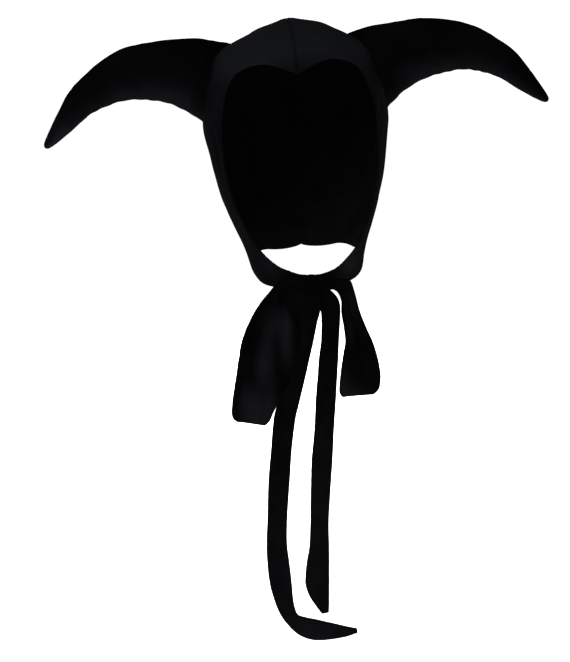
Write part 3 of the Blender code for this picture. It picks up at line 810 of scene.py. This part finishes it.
def horn_root(side, share, lift, sides):
    """A ring round a horn's root, at a share of the seam's size and a lift off the hood."""
    angles = horn_angles(sides)
    aside, height, tilt = HORN_ROOTS[side]
    share = share * (1 - HORN_DRAWN_IN[side] * hump(angles - HORN_DRAWN_AT, HORN_DRAWN_WIDTH))
    spots = np.radians(np.stack([
        aside + share * (HORN_ROOT_SIZE[0] * np.cos(angles) + tilt * np.sin(angles)),
        height + share * HORN_ROOT_SIZE[1] * np.sin(angles),
    ], -1))
    directions = from_map(spots)
    form = form_points(directions)
    return form + form_normals(directions) * (lift - flat_places(form, side))[..., None]


def horn_angles(sides):
    """Angles round a horn that lie closer together at the seams along its top and its bottom."""
    steps = 2 * math.pi * np.arange(sides) / sides
    return steps + 0.35 * np.sin(2 * steps)


def hood_panel(side, material, inside):
    """Half of the hood, with its creases, its turned hems and the pull of the seams."""
    directions = from_map(panel_spots())
    form = form_points(directions)
    normals = form_normals(directions)
    seed = 3 + side
    to_face, _ = nearest(form, along_line(face_edge(), np.linspace(0, 1, EDGE_SPOTS)))
    to_neck, _ = nearest(form, along_line(neck_edge(), np.linspace(0, 1, EDGE_SPOTS)))
    to_seam = np.abs(form[..., 0])
    to_hem = np.minimum(to_face, to_neck)
    ring = horn_root(side, 1.0, CLOTH, ROOT_SPOTS)
    to_horn, at_horn = nearest(form, ring)
    round_horn = horn_angles(ROOT_SPOTS)[at_horn]
    wave = uneven(form, HOOD_UNEVEN, seed)
    for crease_side, width, depth, spots in HOOD_CREASES:
        if crease_side == side:
            wave += stroke_depth(form, width, depth, spots)
    horn_pull = np.cos(ROOT_PUCKERS * round_horn + 9 * wander(form, 0.025, seed + 5))
    wave += np.exp(-to_horn / 0.010) * 0.00028 * horn_pull * smooth_step(to_horn, 0.0, 0.002)
    wave -= 0.0006 * hump(to_horn, width=0.003)
    hem_pull = wander(form, 0.012, seed + 6)
    wave += np.exp(-to_hem / 0.007) * 0.00025 * hem_pull
    wave *= smooth_step(to_seam, 0.0005, 0.0090)
    along_seam = form[..., 1] * 0.7 - form[..., 2]
    seam_pull = np.sin(2 * math.pi * along_seam / SEAM_PUCKER + 3 * wander(form, 0.03, 7))
    wave += hump(to_seam - 0.005, width=0.003) * (0.00030 + 0.00018 * seam_pull)
    hem = 0.00020 * (1 - smooth_step(to_hem, 0.0040, 0.0100))
    rounding = rounded(to_hem, HEM_ROUND) * (0.45 + 0.55 * rounded(to_seam, SEAM_ROUND))
    half = CLOTH / 2 * np.maximum(rounding, 0.08)
    wave += CROWN_RISE * hump(np.linalg.norm(form, axis=-1), width=0.045)
    wave -= flat_places(form, side)
    middle = form + normals * (CLOTH / 2 + wave)[..., None]
    middle[[0, -1], :, 0] = -SEAM_OVERLAP
    middle[:PANEL_ALONG // 2 + 1, -1, 0] = -SEAM_OVERLAP
    middle = middle * np.array((side, 1, 1))
    normals = normals * np.array((side, 1, 1))
    flat_seam = (1 - np.clip(to_seam / 0.0030, 0, 1))[..., None]
    kept = np.ones_like(flat_seam)
    normals = unit(normals * np.concatenate([1 - flat_seam, kept, kept], -1))
    label = SIDE_NAMES[side]
    return cloth_shell(f"hood_{label}", middle, half + hem, half * 0.9, material, normals, inside)


# The horns

def horn_ring(row, side, angles):
    """A ring round a horn, square to its curve."""
    out, rise, height, tilt = row
    grown = (out - HORN_SECTIONS[0][0]) / (HORN_TIP[0] - HORN_SECTIONS[0][0])
    sway_out, sway_up = HORN_SWAY[side]
    set_back = math.radians(HORN_ROOTS[side][0]) * HEAD_WIDTH / 2 * (1 - min(grown, 1.0)) ** 2
    out += sway_out * grown
    rise += sway_up * grown
    centre = np.array((out * HORN_REACH, set_back, rise * HORN_REACH))
    half = height * HORN_HEIGHT / 2
    up = np.array((math.sin(math.radians(tilt)), 0, math.cos(math.radians(tilt))))
    back = np.array((0, 1, 0))
    across = half * HORN_ROUNDNESS * np.cos(angles)[:, None] * back
    return centre + across + half * np.sin(angles)[:, None] * up


def horn(side, material):
    """A stuffed horn, sewn along its top and its bottom and round its root."""
    angles = horn_angles(HORN_SIDES)
    controls = [horn_root(side, share, lift, HORN_SIDES) for share, lift in HORN_ROOT_RINGS]
    controls += [horn_ring(row, side, angles) for row in [*HORN_SECTIONS, HORN_LAST_RING]]
    controls = np.array(controls)
    last = len(controls) - 1
    places = np.concatenate([[0.0], 1 + (last - 1) * np.linspace(0, 1, HORN_RINGS) ** 1.12])
    flat = smooth_rows(controls.reshape(len(controls), -1), places)
    rings = flat.reshape(len(places), HORN_SIDES, 3)
    normals = grid_normals(np.concatenate([rings[:, -1:], rings, rings[:, :1]], axis=1))[:, 1:-1]
    centres = rings.mean(1, keepdims=True)
    normals *= np.sign((normals * (rings - centres)).sum(-1, keepdims=True).mean(1, keepdims=True))
    along = lengths_along(rings.mean(1))[:, None]
    size = np.linalg.norm(rings - centres, axis=-1).mean(1)[:, None]
    up_turn = np.abs(np.angle(np.exp(1j * (angles - math.pi / 2))))[None, :]
    down_turn = np.abs(np.angle(np.exp(1j * (angles + math.pi / 2))))[None, :]
    to_top, to_bottom = up_turn * size, down_turn * size
    seed = 20 + side
    noisy = wander(rings, 0.03, seed)
    fade = smooth_step(size, 0.003, 0.016)
    wave = fade * uneven(rings, HORN_UNEVEN, seed)
    pull = np.sin(2 * math.pi * along / HORN_PUCKER + 7 * noisy)
    wave += fade * pull * (0.00012 * np.exp(-to_top / 0.008) + 0.00030 * np.exp(-to_bottom / 0.009))
    wave -= 0.0005 * (hump(to_top, 0.0012) + hump(to_bottom, 0.0012)) * (0.3 + 0.7 * fade)
    root_pull = np.cos(ROOT_PUCKERS * angles[None, :] + 8 * noisy)
    wave += 0.00040 * root_pull * np.exp(-along / 0.012) * smooth_step(along, 0.001, 0.006)
    wave *= smooth_step(np.arange(len(places))[:, None], 1, 5)
    rings = (rings + normals * wave[..., None]) * np.array((side, 1, 1))
    return closed_tube(f"horn_{SIDE_NAMES[side]}_stuffed", rings, material)


# The tie

LEAN = np.array(Matrix.Rotation(-HEAD_LEAN, 3, "Y"))


def knot_middle():
    """The middle of the knot: in front of the hood, under the chin and a little to one side."""
    chin = LEAN @ front_points(np.array(0.0), np.array(FACE_TOP + FACE_HEIGHT))
    aim = np.array((chin[0] - KNOT_ASIDE, chin[1], chin[2] - KNOT_HEIGHT / 2))
    direction = LEAN.T @ aim - MIDDLE
    seat = LEAN @ (form_points(direction) + form_normals(direction) * (CLOTH + SEWN_GAP))
    return np.array((aim[0], seat[1] - KNOT_DEPTH / 2, aim[2]))


def bow_knot(middle, material):
    """The wrap of the knot, with the folds of the cloth that goes round it."""
    place = np.linspace(0, len(KNOT_SECTIONS) - 1, KNOT_RINGS)
    along, girth = smooth_rows(KNOT_SECTIONS, place).T
    angles = 2 * math.pi * np.arange(KNOT_SIDES) / KNOT_SIDES
    slant = along[:, None] + 0.16 * np.sin(angles)[None, :] + 0.05 * np.sin(2 * angles + 1)[None, :]
    folds = np.zeros_like(slant)
    for spot, width, height in KNOT_FOLDS:
        folds += height * hump(slant - spot, width)
    front = 0.5 - 0.5 * np.cos(angles)[None, :]
    size = girth[:, None] * (0.98 + folds * (0.15 + 0.85 * front))
    rings = np.stack([
        middle[0] + along[:, None] * KNOT_WIDTH / 2 * KNOT_STRETCH * np.ones_like(size),
        middle[1] + size * KNOT_DEPTH / 2 * np.cos(angles),
        middle[2] + size * KNOT_HEIGHT / 2 * np.sin(angles),
    ], -1)
    return closed_tube("bow_knot_wrap", rings, material)


def band_thickness(share, width, cloth):
    """Half the thickness of a turned and pressed band across its width, rounded at both edges."""
    to_edge = np.minimum(share, 1 - share) * width
    hem = 0.00018 * hump(to_edge - 0.0022, width=0.0012)
    return cloth / 2 * np.maximum(rounded(to_edge, BAND_ROUND), 0.10) + hem


def hung_points(middle, x, back, drop, length):
    """Points of the tie from the shares in its tables, back behind the knot's middle and down."""
    return middle + np.stack([x * TIE_WIDTH, back * KNOT_DEPTH, -drop * length], -1)


def bow_loop(side, rows, folds, middle, material):
    """A loop of the bow: a soft band that falls in folds from the knot and comes back up behind."""
    along = np.linspace(0, 1, LOOP_STEPS)
    share = eased(LOOP_LINES, 0.6)
    outer_x, outer_z, inner_x, inner_z, back, pleat = smooth_rows(rows, along * (len(rows) - 1)).T
    root = (1 - smooth_step(np.minimum(along, 1 - along), 0.0, 0.05)) * 0.07
    outer = hung_points(middle, outer_x - side * root, back, outer_z, LOOP_LENGTH)
    inner = hung_points(middle, inner_x - side * root, back, inner_z, LOOP_LENGTH)
    grid = outer[:, None] * (1 - share[None, :, None]) + inner[:, None] * share[None, :, None]
    depth = np.zeros((LOOP_STEPS, LOOP_LINES + 1))
    for start, end, first, mid, final, width, height in folds:
        t = np.clip((along - start) / (end - start), 0, 1)
        centre = first * (1 - t) * (1 - 2 * t) + 4 * mid * t * (1 - t) + final * t * (2 * t - 1)
        begin = smooth_step(t, 0.0, 0.16) if start > 0 else smooth_step(t, -0.01, 0.04)
        close = smooth_step(t, 0.72, 1.0) if end < 1 else smooth_step(t, 0.96, 1.01)
        fade = (begin * (1 - close))[:, None]
        depth -= height / 1000 * hump(share[None, :] - centre[:, None], width) * fade
    gathered = np.exp(-np.minimum(along, 1 - along) / 0.045)[:, None]
    depth -= 0.0011 * gathered * np.cos(2 * math.pi * 3.5 * share)[None, :]
    depth += 0.0004 * wander(grid, 0.02, 40 + side)
    grid[..., 1] += depth
    width = np.linalg.norm(outer - inner, axis=-1)[:, None]
    half = band_thickness(share[None, :], width, TIE_CLOTH)
    return cloth_shell(f"bow_loop_{SIDE_NAMES[side]}_cloth", grid, half, half, material)


def tie_tail(side, rows, middle, material):
    """A free end of the tie, folded lengthwise, with its two layers lying softly together."""
    along = np.linspace(0, 1, TAIL_STEPS)
    open_x, open_z, fold_x, fold_z, front = smooth_rows(rows, along * (len(rows) - 1)).T
    open_edge = hung_points(middle, open_x, -front, open_z, TAIL_LENGTH)
    fold = hung_points(middle, fold_x, -front, fold_z, TAIL_LENGTH)
    face = unit(np.cross(np.gradient((open_edge + fold) / 2, axis=0), fold - open_edge))
    flat = eased(22, 0.5) * FOLD_START
    turn = np.linspace(-math.pi / 2, math.pi / 2, 13)[1:-1]
    share = np.concatenate([flat, FOLD_START + 0.08 * np.cos(turn), flat[::-1]])
    layer = np.concatenate([-np.ones(len(flat)), np.sin(turn), np.ones(len(flat))])
    puff = np.sin(math.pi * np.clip(share, 0, 1)) ** 0.8
    spot = open_edge[:, None] * (1 - share[None, :, None]) + fold[:, None] * share[None, :, None]
    loose = TAIL_LOOSE + TAIL_PUFF * puff[None, :] * (1 + wander(spot, 0.03, 60 + side))
    bend = uneven(spot, TAIL_UNEVEN, side)
    grid = spot + face[:, None] * (layer[None, :] * loose + bend)[..., None]
    slack = (layer > 0)[None, :, None] * (1 - share)[None, :, None]
    slip = (1 + wander(spot, 0.02, 68 + side))[..., None]
    grid += slack * TAIL_SLACK * unit(fold - open_edge)[:, None] * slip
    across = lengths_along(grid[TAIL_STEPS // 2])
    half = band_thickness(across[None, :] / across[-1], across[-1], TIE_CLOTH)
    half = half * np.ones((TAIL_STEPS, 1))
    return cloth_shell(f"tie_tail_{SIDE_NAMES[side]}_cloth", grid, half, half, material)


# Materials

def new_material(name):
    material = bpy.data.materials.new(name)
    material.use_nodes = True
    return material, material.node_tree, material.node_tree.nodes["Principled BSDF"]


def set_inputs(node, values):
    for name, value in values.items():
        node.inputs[name].default_value = value


def add_node(tree, kind, values, **links):
    """A shader node with values set on some of its inputs and outputs linked to others."""
    node = tree.nodes.new(kind)
    set_inputs(node, values)
    for name, output in links.items():
        tree.links.new(output, node.inputs[name])
    return node


def noise_node(tree, coords, scale, detail, roughness, distortion=0.0):
    values = {"Scale": scale, "Detail": detail, "Roughness": roughness, "Distortion": distortion}
    return add_node(tree, "ShaderNodeTexNoise", values, Vector=coords).outputs["Fac"]


def stretched(tree, coords, scale):
    node = add_node(tree, "ShaderNodeMapping", {"Scale": scale}, Vector=coords)
    return node.outputs["Vector"]


def ramp(tree, factor, places, tones):
    """Black cloth whose lightness follows a factor, from the first tone to the last."""
    node = tree.nodes.new("ShaderNodeValToRGB")
    elements = node.color_ramp.elements
    for place in places[1:-1]:
        elements.new(place)
    for element, place, tone in zip(elements, places, tones):
        element.position = place
        element.color = (*grey(tone), 1)
    tree.links.new(factor, node.inputs["Fac"])
    return node.outputs["Color"]


def mapped(tree, factor, low, high):
    """A noise, which lies between 0.3 and 0.7 nearly everywhere, spread from low to high."""
    values = {"From Min": 0.3, "From Max": 0.7, "To Min": low, "To Max": high}
    return add_node(tree, "ShaderNodeMapRange", values, Value=factor).outputs["Result"]


def bump(tree, height, strength, distance, below=None):
    values = {"Strength": strength, "Distance": distance}
    links = {"Height": height} if below is None else {"Height": height, "Normal": below}
    return add_node(tree, "ShaderNodeBump", values, **links).outputs["Normal"]


def grey(value):
    """Black cloth of a given lightness, very slightly cool."""
    return (value * 0.93, value * 0.98, value * 1.12)


def add_up(tree, first, share, second):
    """first * share + second, held between 0 and 1 where share is above 1"""
    node = tree.nodes.new("ShaderNodeMath")
    node.operation = "MULTIPLY_ADD"
    node.use_clamp = share > 1
    tree.links.new(first, node.inputs[0])
    node.inputs[1].default_value = share
    if isinstance(second, float):
        node.inputs[2].default_value = second
    else:
        tree.links.new(second, node.inputs[2])
    return node.outputs[0]


def painted_zone(tree, coords, centre, reach):
    """1 at the middle of an oval region of the hat where light or a darker tone is painted, falling
    softly to 0 at its rim.
    """
    place = add_node(tree, "ShaderNodeMapping", {
        "Location": [value / 1000 for value in centre],
        "Rotation": (0, -HEAD_LEAN, 0),
        "Scale": [value / 1000 for value in reach],
    }, Vector=coords)
    place.vector_type = "TEXTURE"
    fall = add_node(tree, "ShaderNodeTexGradient", {}, Vector=place.outputs["Vector"])
    fall.gradient_type = "QUADRATIC_SPHERE"
    return fall.outputs["Fac"]


def velvet(name, tones, painted_zones, painted_underlight=0.0):
    """Black velvet: short pile, crushed a little here and there, with light painted on in some
    zones and shade in others.

    tones are the lightness from the darkest pile to the lightest. The last argument is how much
    painted light from below makes the pile lighter where it faces down.
    """
    material, tree, shader = new_material(name)
    source = tree.nodes.new("ShaderNodeTexCoord")
    coords = source.outputs["Object"]
    pile = noise_node(tree, coords, scale=1500, detail=3.0, roughness=0.65)
    drawn_down = stretched(tree, coords, (420, 420, 90))
    streaks = noise_node(tree, drawn_down, scale=1.0, detail=3.0, roughness=0.6)
    crushed = noise_node(tree, coords, scale=60, detail=5.0, roughness=0.62, distortion=0.5)
    broad = noise_node(tree, coords, scale=18, detail=2.0, roughness=0.5)
    # Painted light: the zones that make the pile lighter where the light falls
    painted_light = 0.0
    for centre, reach, strength in painted_zones:
        if strength > 0:
            painted_light = add_up(tree, painted_zone(tree, coords, centre, reach), strength, painted_light)
    nap_and_painted_light = add_up(tree, broad, BROAD_SHARE, NAP_BASE)
    nap_and_painted_light = add_up(tree, crushed, CRUSHED_SHARE, nap_and_painted_light)
    nap_and_painted_light = add_up(tree, painted_light, PAINTED_LIGHT_SHARE, nap_and_painted_light)
    # The zones that make it darker: painted shade on the left loop, and a strip along the hood's
    # centre seam
    for centre, reach, strength in painted_zones:
        if strength < 0:
            nap_and_painted_light = add_up(tree, painted_zone(tree, coords, centre, reach), strength, nap_and_painted_light)
    # Painted light from below: the pile is drawn lighter where it faces down
    if painted_underlight:
        parts = add_node(tree, "ShaderNodeSeparateXYZ", {}, Vector=source.outputs["Normal"])
        values = {"From Min": 0.05, "From Max": -0.75}
        lit_from_below = add_node(tree, "ShaderNodeMapRange", values, Value=parts.outputs["Z"])
        lit_from_below.interpolation_type = "SMOOTHSTEP"
        nap_and_painted_light = add_up(tree, lit_from_below.outputs["Result"], painted_underlight, nap_and_painted_light)
    tree.links.new(ramp(tree, nap_and_painted_light, NAP_PLACES, tones), shader.inputs["Base Color"])
    tree.links.new(mapped(tree, crushed, low=0.98, high=0.84), shader.inputs["Roughness"])
    normal = bump(tree, crushed, strength=0.16, distance=0.0010)
    normal = bump(tree, streaks, strength=0.25, distance=0.0004, below=normal)
    normal = bump(tree, pile, strength=0.50, distance=0.0004, below=normal)
    tree.links.new(normal, shader.inputs["Normal"])
    set_inputs(shader, {
        "Specular IOR Level": 0.0,
        "Sheen Weight": SHEEN,
        "Sheen Roughness": 0.36,
        "Sheen Tint": SHEEN_COLOUR,
    })
    return material


def knit_lining():
    """The smooth black knit inside the hood, with its fine ribs."""
    material, tree, shader = new_material("hood_lining")
    coords = tree.nodes.new("ShaderNodeTexCoord").outputs["Object"]
    values = {"Scale": 330, "Distortion": 1.6, "Detail": 2.0, "Detail Scale": 3.0}
    ribs = add_node(tree, "ShaderNodeTexWave", values, Vector=coords)
    ribs.wave_type = "BANDS"
    ribs.bands_direction = "X"
    stitches = stretched(tree, coords, (900, 900, 1500))
    loops = noise_node(tree, stitches, scale=1.0, detail=2.0, roughness=0.5)
    wear = noise_node(tree, coords, scale=40, detail=4.0, roughness=0.6)
    tree.links.new(ramp(tree, wear, WEAR_PLACES, LINING_TONES), shader.inputs["Base Color"])
    tree.links.new(mapped(tree, wear, low=0.62, high=0.78), shader.inputs["Roughness"])
    normal = bump(tree, ribs.outputs["Fac"], strength=0.25, distance=0.0003)
    normal = bump(tree, loops, strength=0.25, distance=0.0002, below=normal)
    tree.links.new(normal, shader.inputs["Normal"])
    set_inputs(shader, {"Specular IOR Level": 0.0})
    return material


# The studio

def add_light(name, place, sides, power):
    data = bpy.data.lights.new(name, "AREA")
    data.shape = "RECTANGLE"
    data.size, data.size_y = sides, sides
    data.energy = power
    lamp = bpy.data.objects.new(name, data)
    lamp.location = place
    aim = Vector(LIGHT_AIM) - Vector(place)
    lamp.rotation_euler = aim.to_track_quat("-Z", "Y").to_euler()
    bpy.context.scene.collection.objects.link(lamp)


def studio():
    scene = bpy.context.scene
    floor_data = bpy.data.meshes.new("floor")
    level = cad_box[0][2] - FLOOR_GAP
    square = [(-1, -1), (1, -1), (1, 1), (-1, 1)]
    corners = [(x * FLOOR_HALF, y * FLOOR_HALF, level) for x, y in square]
    floor_data.from_pydata(corners, [], [(0, 1, 2, 3)])
    pale, _, shader = new_material("pale_floor")
    set_inputs(shader, {"Base Color": FLOOR_COLOUR, "Roughness": 0.9, "Specular IOR Level": 0.2})
    floor_data.materials.append(pale)
    floor = bpy.data.objects.new("floor", floor_data)
    scene.collection.objects.link(floor)
    world = bpy.data.worlds.new("studio")
    world.use_nodes = True
    background = world.node_tree.nodes["Background"]
    set_inputs(background, {"Color": WORLD_COLOUR, "Strength": WORLD_STRENGTH})
    scene.world = world
    scene.view_settings.view_transform = "Standard"
    for light in LIGHTS:
        add_light(*light)
    camera_data = bpy.data.cameras.new("camera")
    camera_data.lens = CAMERA_LENS
    camera = bpy.data.objects.new("camera", camera_data)
    camera.location = CAMERA_PLACE
    camera.rotation_euler = [math.radians(angle) for angle in CAMERA_TURN]
    scene.collection.objects.link(camera)
    scene.camera = camera


def lean(piece):
    """Turn a piece that was made on the upright head to where the head leans."""
    piece.data.transform(Matrix.Rotation(-HEAD_LEAN, 4, "Y"))
    return piece


def settle(piece, node):
    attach(piece, "root")
    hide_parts(node)


studio()
hood_velvet = velvet("hood_velvet_pile", HOOD_TONES, HOOD_PAINTED_LIGHT_AND_SEAM)
horn_velvet = velvet("horn_velvet_pile", HORN_TONES, HORN_PAINTED_LIGHT, HORN_PAINTED_UNDERLIGHT)
tie_velvet = velvet("tie_velvet_pile", TIE_TONES, TIE_PAINTED_LIGHT_AND_SHADE)
lining = knit_lining()
knot_at = knot_middle()
knot = bow_knot(knot_at, tie_velvet)
settle(knot, "bow_knot")
for side, loop_rows, folds, tail_rows in (
    (-1, LOOP_LEFT, LOOP_FOLDS_LEFT, TAIL_LEFT),
    (1, LOOP_RIGHT, LOOP_FOLDS_RIGHT, TAIL_RIGHT),
):
    label = SIDE_NAMES[side]
    panel = lean(hood_panel(side, hood_velvet, lining))
    settle(panel, f"hood_panel_{label}")
    stuffed = lean(horn(side, horn_velvet))
    settle(stuffed, f"horn_{label}")
    loop = bow_loop(side, loop_rows, folds, knot_at, tie_velvet)
    settle(loop, f"bow_loop_{label}")
    tail = tie_tail(side, tail_rows, knot_at, tie_velvet)
    settle(tail, f"tie_tail_{label}")
